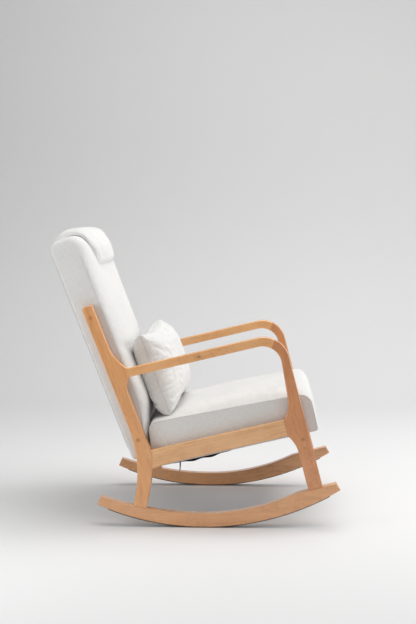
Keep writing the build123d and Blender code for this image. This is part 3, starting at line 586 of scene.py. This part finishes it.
def eased(made, values, rounds):
    # repeated averaging over the mesh edges
    flat = np.zeros(len(made.data.edges) * 2, np.int32)
    made.data.edges.foreach_get("vertices", flat)
    a, b = flat[0::2], flat[1::2]
    shares = np.bincount(a, minlength=len(values)) + np.bincount(b, minlength=len(values))
    values = np.array(values, float)
    for _ in range(rounds):
        total = np.zeros_like(values)
        np.add.at(total, a, values[b])
        np.add.at(total, b, values[a])
        values = 0.5 * values + 0.5 * total / np.maximum(shares, 1)[:, None]
    return values


def clothRun(made, f, held=()):
    # pressure fills the cloth out; the pinned vertices stay
    cloth = made.modifiers.new("fill", "CLOTH")
    settings = cloth.settings
    settings.quality = 5
    settings.mass = 0.3
    settings.tension_stiffness = settings.compression_stiffness = f["stiff"]
    settings.shear_stiffness = f["stiff"] * 0.4
    settings.bending_stiffness = f["bend"]
    settings.use_pressure = True
    settings.uniform_pressure_force = f["pressure"]
    settings.shrink_min = -f["slack"]
    settings.effector_weights.gravity = 0.0
    cloth.collision_settings.use_collision = False
    cloth.collision_settings.use_self_collision = False
    if len(held):
        group = made.vertex_groups.new(name="held")
        group.add([int(v) for v in held], 1.0, "REPLACE")
        settings.vertex_group_mass = "held"
    cloth.point_cache.frame_start = 1
    cloth.point_cache.frame_end = f["frames"]
    for step in range(1, f["frames"] + 1):
        scene.frame_set(step)
    shape = made.evaluated_get(bpy.context.evaluated_depsgraph_get()).to_mesh()
    flat = np.zeros(len(shape.vertices) * 3)
    shape.vertices.foreach_get("co", flat)
    made.modifiers.remove(cloth)
    made.vertex_groups.clear()
    scene.frame_set(1)
    return flat.reshape(-1, 3)


def addCreases(made, f, held):
    # keeps the creases of the filled cloth and leaves the outline as drawn
    start = positions(made)
    moved = clothRun(made, f, held) - start
    creases = moved - eased(made, moved, f["broad"])
    creases = eased(made, creases, 1) * f["gain"]
    reach = np.linalg.norm(creases, axis=1)
    creases *= (np.minimum(reach, f["cap"]) / np.maximum(reach, 1e-9))[:, None]
    free = np.ones((len(start), 1))
    free[list(held)] = 0.0
    free = eased(made, free, 2) * free
    setPositions(made, start + creases * free)
    print("creases on", made.name, "most", round(float(reach.max()) * 1000, 1), "mm of", f["cap"] * 1000)


def settle(made, seams, columns, counts, fill, loose):
    # the cloth moves only where loose(k) says so, k counting round a section
    ring = 2 * sum(counts)
    body = ring * len(columns)
    held = {v for v in range(body) if not loose(v % ring)} | set(range(body, len(made.data.vertices)))
    for ends in seams.values():
        held |= set(ends)
    addCreases(made, fill, sorted(held))


def sewOn(made, name, paths, radius, closed=True):
    points = positions(made)
    tubes = [seamTube(name, points[path], radius, linenSeam, closed) for path in paths]
    for tube in tubes:
        joinInto(made, tube)


linen = linenFinish("paleLinen", (0.83, 0.825, 0.81), (0.64, 0.635, 0.62), 0.42)
# the seam cords are a darker linen than the panels: painted shade along the seam lines
linenSeam = linenFinish("seamLinen", (0.70, 0.69, 0.675), (0.54, 0.53, 0.515), 0.5)


# Seat cushion: top and front in one piece, boxed side panels

seatForm = dict(front=0.371, rear=-0.162, undercut=0.016, floor=-0.062, frontTop=0.061, rearTop=0.084,
                crown=0.029, rearShare=0.12, dome=(0.115, 0.011), bulge=0.008,
                radii=(0.004, 0.006, 0.036, 1.2, 0.026), half=0.2862, puff=0.0012, roll=3.0, ease=0.68,
                seam=0.0009, crease=0.7, counts=(80, 18), columns=72, ends=(0.0, 0.0016, 0.005, 0.010, 0.016),
                fill=dict(pressure=1.2, slack=0.012, stiff=12, bend=0.25, frames=20, broad=40, gain=0.55,
                          cap=0.004))


def seatTopLine(share):
    f = seatForm
    front = (f["front"] + f["bulge"] * share, f["frontTop"] + f["crown"] * share)
    rear = (f["rear"], f["rearTop"] + f["crown"] * f["rearShare"] * share)
    t = (f["dome"][0] - rear[0]) / (front[0] - rear[0])
    middle = (f["dome"][0], rear[1] + (front[1] - rear[1]) * t + f["dome"][1] * share)
    return front, middle, rear


def seatSection(y):
    f = seatForm
    share = float(swellAt(y, f["half"], f["roll"], f["ease"]))
    front, middle, rear = seatTopLine(share)
    corners = ((f["rear"] - f["undercut"], f["floor"]), (front[0], f["floor"]), front, middle, rear)
    return roundedSides(corners, f["radii"], (0, 1, 2, 4))


def makeSeat():
    f = seatForm
    columns = mixedColumns(f["half"], f["columns"], f["ends"])
    seat, seams = boxedForm("seatCushion", columns, seatSection, f["counts"], onRail, linen, f["puff"])
    along, up = f["counts"]
    settle(seat, seams, columns, f["counts"], f["fill"], lambda k: along < k < 2 * along + up)
    for ends in seams.values():
        creaseAlong(seat, ends + ends[:1], f["crease"])
    sewOn(seat, "seatSeam", seams.values(), f["seam"])
    smoothOver(seat)
    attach(seat, "chair")
    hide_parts("seat_cover", "seat_foam")
    print("seat cushion made")


makeSeat()


# Back cushion: a front panel between boxed sides

backForm = dict(bottom=-0.212, top=0.546, toe=0.056, knee=-0.046, seam=0.088, crown=0.031, topSwell=0.004,
                radii=(0.012, 0.020, 0.060, 0.048, 0.034), half=0.2866, puff=0.0010, roll=5.0, ease=0.43,
                edge=(0.009, 0.016, 0.018), stitch=0.0008, stitched=98, crease=0.6, counts=(16, 104),
                columns=72, ends=(0.0, 0.0006, 0.0024, 0.0053, 0.009, 0.0133, 0.018),
                fill=dict(pressure=1.2, slack=0.012, stiff=12, bend=0.25, frames=20, broad=40, gain=0.5,
                          cap=0.004))


def backFront(y, u):
    # depth of the front panel at a place across and up the back
    f = backForm
    share = swellAt(y, f["half"], f["roll"], f["ease"])
    rise = np.clip((u - f["knee"]) / (f["top"] - f["knee"]), 0.0, 1.0)
    return f["seam"] + share * (f["crown"] + f["topSwell"] * rise)


def backSection(y):
    f = backForm
    drawn = roundOver(y, f["half"], f["edge"][2])
    rear, drop = f["edge"][0] * drawn, f["edge"][1] * drawn
    corners = ((rear, f["bottom"] + rear), (f["toe"], f["bottom"] + rear),
               (float(backFront(y, f["knee"])), f["knee"]),
               (float(backFront(y, f["top"])), f["top"] - drop), (rear, f["top"] - drop))
    radii = list(f["radii"])
    radii[3] -= 0.6 * drop
    radii[4] -= drop
    return roundedSides(corners, radii, (0, 1, 3, 4))


def makeBack():
    f = backForm
    columns = mixedColumns(f["half"], f["columns"], f["ends"])
    back, seams = boxedForm("backCushion", columns, backSection, f["counts"], onBack, linen, f["puff"])
    under, up = f["counts"]
    settle(back, seams, columns, f["counts"], f["fill"], lambda k: under < k < under + up)
    frontSeams = [ends[under:under + f["stitched"]] for ends in seams.values()]
    for path in frontSeams:
        creaseAlong(back, path, f["crease"])
    sewOn(back, "backSeam", frontSeams, f["stitch"], closed=False)
    smoothOver(back)
    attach(back, "chair")
    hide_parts("back_cover", "back_foam", "back_webbing")
    print("back cushion made")


makeBack()


# Rear panel of the back, stretched and sewn round its edge

panelForm = dict(width=0.5494, length=0.672, middle=0.171, depth=-0.0006, bulge=0.0012, thick=0.0008,
                 pucker=(0.0003, 46, 55), grid=(40, 48))


def panelPlace(a, b):
    f, edge = panelForm, backForm["edge"]
    lift = (1 - abs(a) ** 12) * (1 - abs(b) ** 12)
    deep, across, along = f["pucker"]
    pucker = deep * math.sin(across * a) * abs(b) ** 20 + deep * math.sin(along * b) * abs(a) ** 20
    y = a * f["width"] / 2
    wrap = edge[0] * roundOver(y, backForm["half"], edge[2])
    return onBack(f["depth"] + wrap - f["bulge"] * lift - pucker, f["middle"] + b * f["length"] / 2, y)


def makeRearPanel():
    f = panelForm
    panel = meshObject("backRearPanel", *sheetGrid(f["grid"], (f["width"], f["length"]), panelPlace), linen)
    thicken(panel, f["thick"])
    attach(panel, "chair")
    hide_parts("back_rear_panel")
    print("rear panel made")


makeRearPanel()


# Headrest saddle: a soft roll over the top of the back with a flap to the front and the rear

headForm = dict(half=0.236, frontLow=0.424, rearLow=0.426, lip=(0.0014, 0.0125, 0.013), cheek=(0.017, 0.062),
                shoulder=(-0.001, 0.003), crest=(0.058, 0.037), rear=0.004, rearDrop=0.006, gap=0.0008,
                seat=0.0004, panel=0.0018, skin=0.0012, rearLift=0.0008, endShare=0.10, endRound=0.036,
                rearEnd=0.090, taper=0.19, rearTaper=0.14, frontFrom=0.07, rearFrom=0.045,
                pleat=dict(height=0.0026, reach=0.036, folds=10, turn=0.6, lift=0.004, start=0.008,
                           proud=(0.003, 0.006)),
                lipRounds=(0.0004, 0.0006), rounds=(0.012, 0.050, 0.046, 0.080, 0.030), tight=0.0005,
                inner=(0.033, 0.0472), puff=0.003, seam=0.0008, counts=(76, 4), hem=2, columns=72,
                ends=(0.0, 0.0010, 0.003, 0.006, 0.010, 0.015, 0.021, 0.028, 0.036),
                fill=dict(pressure=2.5, slack=0.035, stiff=10, bend=0.12, frames=22, broad=26, gain=0.8,
                          cap=0.005))


def endShare(y, length):
    # how full the pad still is near its ends
    f = headForm
    t = max(0.0, (abs(y) - f["half"] + length) / length)
    return f["endShare"] + (1 - f["endShare"]) * math.sqrt(max(0.0, 1 - t * t))


def headSection(y):
    f, b = headForm, backForm
    share, rearShare = endShare(y, f["endRound"]), endShare(y, f["rearEnd"])
    frontIn = float(backFront(y, b["top"])) + f["gap"]
    rearIn = -f["panel"] - f["gap"]
    rearOut = rearIn - f["rear"] * rearShare
    topIn = b["top"] + f["seat"]
    lip, cheek, tight = f["lip"], f["cheek"], f["tight"]
    corners = ((frontIn, f["frontLow"]), (frontIn + lip[0], f["frontLow"]),
               (frontIn + lip[0] + (lip[1] - lip[0]) * share, f["frontLow"] + lip[2]),
               (frontIn + lip[0] + (cheek[0] - lip[0]) * share, b["top"] - cheek[1]),
               (frontIn + f["shoulder"][0] * share + f["skin"], topIn + f["shoulder"][1]),
               (f["crest"][0], topIn + f["skin"] + f["crest"][1] * (0.4 * share + 0.6 * share * rearShare)),
               (rearOut, topIn - f["rearDrop"] * rearShare + f["rearLift"]),
               (rearOut, f["rearLow"]), (rearIn, f["rearLow"]), (rearIn, topIn), (frontIn, topIn))
    radii = (*f["lipRounds"], tight + (f["rounds"][0] - tight) * share ** 2, *f["rounds"][1:],
             tight, tight, *f["inner"])
    sides = roundedSides(corners, radii, (0, 1, 7, 8))
    return [sides[1], sides[2], sides[3], sides[0]]


def headPlace(v, u, y):
    # the front flap narrows toward its lip, with a few pleats fanned out of its lower corners
    f, b, pleat = headForm, backForm, headForm["pleat"]
    if v > f["frontFrom"]:
        s = min(1.0, max(0.0, (b["top"] - u) / (b["top"] - f["frontLow"])))
        proud = min(1.0, max(0.0, (v - float(backFront(y, u)) - pleat["proud"][0]) / pleat["proud"][1]))
        up, away = u - f["frontLow"], f["half"] - abs(y)
        reach = math.hypot(up, away)
        fan = math.sin(pleat["folds"] * math.atan2(away, up + pleat["lift"]) + pleat["turn"])
        fan *= min(1.0, reach / pleat["start"])
        v += proud * pleat["height"] * fan * math.exp(-(reach / pleat["reach"]) ** 2)
        y *= 1 - f["taper"] * s * s * (3 - 2 * s)
    elif v < f["rearFrom"]:
        s = min(1.0, (f["rearFrom"] - v) / f["rearFrom"])
        y *= 1 - f["rearTaper"] * s * s * (3 - 2 * s)
    return onBack(v, u, y)


def makeHeadrest():
    f = headForm
    columns = mixedColumns(f["half"], f["columns"], f["ends"])
    head, seams = boxedForm("headrestPad", columns, headSection, f["counts"], headPlace, linen, f["puff"])
    over = f["counts"][0]
    settle(head, seams, columns, f["counts"], f["fill"], lambda k: f["hem"] < k < over - f["hem"])
    sewOn(head, "headrestSeam", [ends[:over + 1] for ends in seams.values()], f["seam"], closed=False)
    smoothOver(head)
    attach(head, "headrest")
    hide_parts("headrest_pad")
    print("headrest made")


makeHeadrest()


# Lumbar pillow: two flat panels sewn round the edge and filled

pillowForm = dict(flat=(0.545, 0.345), half=(0.245, 0.142), drawn=(0.016, 0.019), front=0.067, rear=0.052,
                  turn=0.0115, clear=0.0008, pucker=(0.0030, 0.0009, 0.17), rim=0.04, grid=(100, 76),
                  seam=0.0010,
                  fill=dict(pressure=2.0, slack=0.03, stiff=10, bend=0.06, frames=20, broad=16, gain=1.2,
                            cap=0.006))


def pillowGrid(place):
    (nu, nv), flat = pillowForm["grid"], pillowForm["flat"]
    verts, faces, uvs, index = [], [], [], {}
    for face in (1, -1):
        for i in range(nu + 1):
            for j in range(nv + 1):
                edge = i in (0, nu) or j in (0, nv)
                key = (0 if edge else face, i, j)
                if key not in index:
                    index[key] = len(verts)
                    verts.append(place(2 * i / nu - 1, 2 * j / nv - 1, face))
    for face in (1, -1):
        for i in range(nu):
            for j in range(nv):
                quad = [(i, j), (i + 1, j), (i + 1, j + 1), (i, j + 1)]
                if face == -1:
                    quad = quad[::-1]
                faces.append(tuple(index.get((0, *q), index.get((face, *q))) for q in quad))
                uvs += [(q[0] / nu * flat[0], q[1] / nv * flat[1]) for q in quad]
    rim = [(i, 0) for i in range(nu)] + [(nu, j) for j in range(nv)]
    rim += [(nu - i, nv) for i in range(nu)] + [(0, nv - j) for j in range(nv)]
    return verts, faces, uvs, [index[(0, *q)] for q in rim]


def pillowStart(a, b, face):
    f = pillowForm
    y = a * (f["half"][0] - f["drawn"][0] * (1 - b * b))
    h = b * (f["half"][1] - f["drawn"][1] * (1 - a * a))
    if face == 1:
        d = f["front"] * (max(0.0, 1 - a ** 4) * max(0.0, 1 - abs(b) ** (4.5 if b > 0 else 2.2))) ** 0.5
    else:
        d = -f["rear"] * (max(0.0, 1 - a ** 12) * max(0.0, 1 - b ** 6)) ** 0.42
    # gathers run in from the ends, then from the long sides
    fromEnd, fromSide = 1 - abs(a), 1 - abs(b)
    deep, shallow, fade = f["pucker"]
    waves = math.sin(37 * b + 3 * math.sin(2.3 * b)) + 0.7 * math.sin(23 * b + 1.9 + a)
    waves += 0.5 * math.sin(59 * b + 0.4)
    gather = waves * (0.65 - 0.35 * math.sin(2.2 * b + 0.5)) * math.exp(-fromEnd / fade)
    waves = math.sin(31 * a + 4 * math.sin(1.7 * a)) + 0.6 * math.sin(52 * a + 2.1)
    gather += 0.5 * waves * math.exp(-fromSide / fade)
    gather *= min(1.0, fromEnd / f["rim"]) * min(1.0, fromSide / f["rim"])
    d += deep * gather if face == 1 else -shallow * gather
    return onPillow(d + f["turn"] * (1 + a), h, y)


def keptClear(points):
    # the pillow flattens where it meets the back and the seat
    f = pillowForm
    v, u, ahead, _ = seenFrom(*backLine, points)
    press = np.maximum(0.0, backFront(points[:, 1], u) + f["clear"] - v)
    points = points + press[:, None] * ahead
    along, across, _, upward = seenFrom(*railLine, points)
    share = swellAt(points[:, 1], seatForm["half"], seatForm["roll"], seatForm["ease"])
    _, middle, rear = seatTopLine(share)
    t = (along - rear[0]) / (middle[0] - rear[0])
    press = np.maximum(0.0, rear[1] + (middle[1] - rear[1]) * t + f["clear"] - across)
    return points + press[:, None] * upward


def makePillow():
    f = pillowForm
    verts, faces, uvs, rim = pillowGrid(pillowStart)
    pillow = meshObject("lumbarPillow", verts, faces, uvs, linen)
    turnOut(pillow)
    addCreases(pillow, f["fill"], rim)
    setPositions(pillow, keptClear(positions(pillow)))
    sewOn(pillow, "pillowSeam", [rim], f["seam"])
    smoothOver(pillow)
    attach(pillow, "lumbar_pillow")
    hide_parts("pillow_front_panel", "pillow_rear_panel")
    print("pillow made")


makePillow()


# Black dust cloth under the seat, slack along its right edge, with a loose tail

dustForm = dict(length=0.517, width=0.5594, middle=0.1045, level=-0.0625, sag=0.005, slackAt=-0.016,
                slackHalf=0.105, slackDrop=0.010, thick=0.0008, grid=(88, 60),
                tail=dict(at=-0.090, width=0.005, length=0.030, taper=0.4, drift=0.008, inset=0.004,
                          curl=0.003, steps=8, pitch=0.004))
dustCloth = dustyFinish("dustCloth", (0.012, 0.012, 0.013), (0.05, 0.05, 0.052), 0.6, 0.85, bump=0.6)


def dustPlace(a, b):
    f = dustForm
    along = f["middle"] + a * f["length"] / 2
    droop = (1 - a ** 6) * (1 - b ** 6)
    ripple = 0.5 + 0.5 * math.sin(9.0 * a + 3.0 * b) * math.sin(4.0 * b - 5.0 * a)
    slack = max(0.0, 1 - abs((along - f["slackAt"]) / f["slackHalf"]) ** 1.6)
    slack *= (0.75 + 0.25 * math.sin(95 * along)) * max(0.0, -b) ** 6
    level = f["level"] - f["sag"] * droop * (0.6 + 0.4 * ripple) - f["slackDrop"] * slack
    return onRail(along, level, b * f["width"] / 2)


def makeDustCloth():
    f, tail = dustForm, dustForm["tail"]
    verts, faces, uvs = sheetGrid(f["grid"], (f["length"], f["width"]), dustPlace)
    first = len(verts)
    for k in range(tail["steps"] + 1):
        t = k / tail["steps"]
        y = -f["width"] / 2 + tail["inset"] + tail["curl"] * math.sin(4 * t)
        for side in (-0.5, 0.5):
            along = tail["at"] + side * tail["width"] * (1 - tail["taper"] * t) - tail["drift"] * t
            verts.append(onRail(along, f["level"] - tail["length"] * t, y))
    for k in range(tail["steps"]):
        n = first + 2 * k
        faces.append((n, n + 1, n + 3, n + 2))
        low, high = k * tail["pitch"], k * tail["pitch"] + tail["pitch"]
        uvs += [(0, low), (tail["width"], low), (tail["width"], high), (0, high)]
    dust = meshObject("dustCloth", verts, faces, uvs, dustCloth)
    thicken(dust, f["thick"])
    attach(dust, "chair")
    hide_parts("dust_cover", "dust_tail")
    print("dust cloth made")


makeDustCloth()


# Studio: a pale floor that sweeps up behind, clear from behind, under soft lamps

studio = dict(floorFront=-7.0, sweepStart=2.1, sweepRadius=1.1, sweepSteps=24, wallTop=6.0, halfWidth=8.0,
              floorTone=(0.85, 0.85, 0.85), wallPaintedShadeTone=(0.75, 0.75, 0.75), air=0.275)


def makeSweep():
    f = studio
    profile = [(f["floorFront"], 0.0)]
    for k in range(f["sweepSteps"] + 1):
        t = math.pi / 2 * k / f["sweepSteps"]
        rise = f["sweepRadius"] * (1 - math.cos(t))
        profile.append((f["sweepStart"] + f["sweepRadius"] * math.sin(t), rise))
    profile.append((f["sweepStart"] + f["sweepRadius"], f["wallTop"]))
    verts = [(x, y, z) for x in (-f["halfWidth"], f["halfWidth"]) for y, z in profile]
    n = len(profile)
    faces = [(k, n + k, n + k + 1, k + 1) for k in range(n - 1)]
    mesh = bpy.data.meshes.new("studioSweep")
    mesh.from_pydata(verts, [], faces)
    mesh.polygons.foreach_set("use_smooth", np.ones(len(faces), bool))
    made = bpy.data.objects.new("studioSweep", mesh)
    scene.collection.objects.link(made)
    material, tree, shader = newFinish("paleStudio")
    place = tree.nodes.new("ShaderNodeTexCoord").outputs["Object"]
    height = addNode(tree, "ShaderNodeSeparateXYZ", Vector=place).outputs[2]
    # painted shade: the sweep's colour darkens with height from the floor tone to the wall tone
    shade = mixColour(tree, ramp(tree, height, 0.05, 1.6), (*f["floorTone"], 1), (*f["wallPaintedShadeTone"], 1))
    tree.links.new(shade, shader.inputs["Base Color"])
    shader.inputs["Roughness"].default_value = 0.9
    shader.inputs["Specular IOR Level"].default_value = 0.1
    behind = tree.nodes.new("ShaderNodeNewGeometry").outputs["Backfacing"]
    clear = tree.nodes.new("ShaderNodeBsdfTransparent")
    mix = tree.nodes.new("ShaderNodeMixShader")
    for source, target in ((behind, 0), (shader.outputs[0], 1), (clear.outputs[0], 2)):
        tree.links.new(source, mix.inputs[target])
    tree.links.new(mix.outputs[0], tree.nodes["Material Output"].inputs["Surface"])
    mesh.materials.append(material)


makeSweep()


lamps = dict(
    overheadSoft=dict(place=(0.7, -0.1, 3.4), aim=(0.2, 0.0, 0.3), size=(3.2, 2.8), watts=74),
    frontSoft=dict(place=(3.2, 0.4, 1.6), aim=(0.0, 0.0, 0.5), size=(2.0, 2.0), watts=48),
    leftSoft=dict(place=(-1.5, -1.25, 0.95), aim=(-0.45, -0.25, 0.78), size=(1.0, 1.0), watts=10),
    backdropSoft=dict(place=(-0.7, 0.6, 4.2), aim=(-0.9, 3.0, 0.8), size=(3.0, 1.5), watts=12),
)


def areaLight(name, place, aim, size, watts):
    data = bpy.data.lights.new(name, "AREA")
    data.shape = "RECTANGLE"
    data.size, data.size_y = size
    data.energy = watts
    made = bpy.data.objects.new(name, data)
    made.location = place
    made.rotation_euler = (Vector(aim) - Vector(place)).to_track_quat("-Z", "Y").to_euler()
    scene.collection.objects.link(made)


for name, lamp in lamps.items():
    areaLight(name, **lamp)
world = bpy.data.worlds.new("studioAir")
world.use_nodes = True
sky = world.node_tree.nodes["Background"]
sky.inputs["Color"].default_value = (1.0, 1.0, 1.0, 1)
sky.inputs["Strength"].default_value = studio["air"]
scene.world = world
print("studio lit")


# Camera fitted to the photograph, focal length and height in its pixels

photoView = dict(place=(0.1775, -4.1359, 1.0180), tilt=0.0825, turn=0.0414, sensor=36.0, focal=1200, height=624)
camera = bpy.data.objects.new("camera", bpy.data.cameras.new("camera"))
camera.data.lens = photoView["sensor"] * photoView["focal"] / photoView["height"]
camera.data.sensor_width = photoView["sensor"]
camera.location = photoView["place"]
camera.rotation_euler = (math.pi / 2 - photoView["tilt"], 0.0, photoView["turn"])
scene.collection.objects.link(camera)
scene.camera = camera
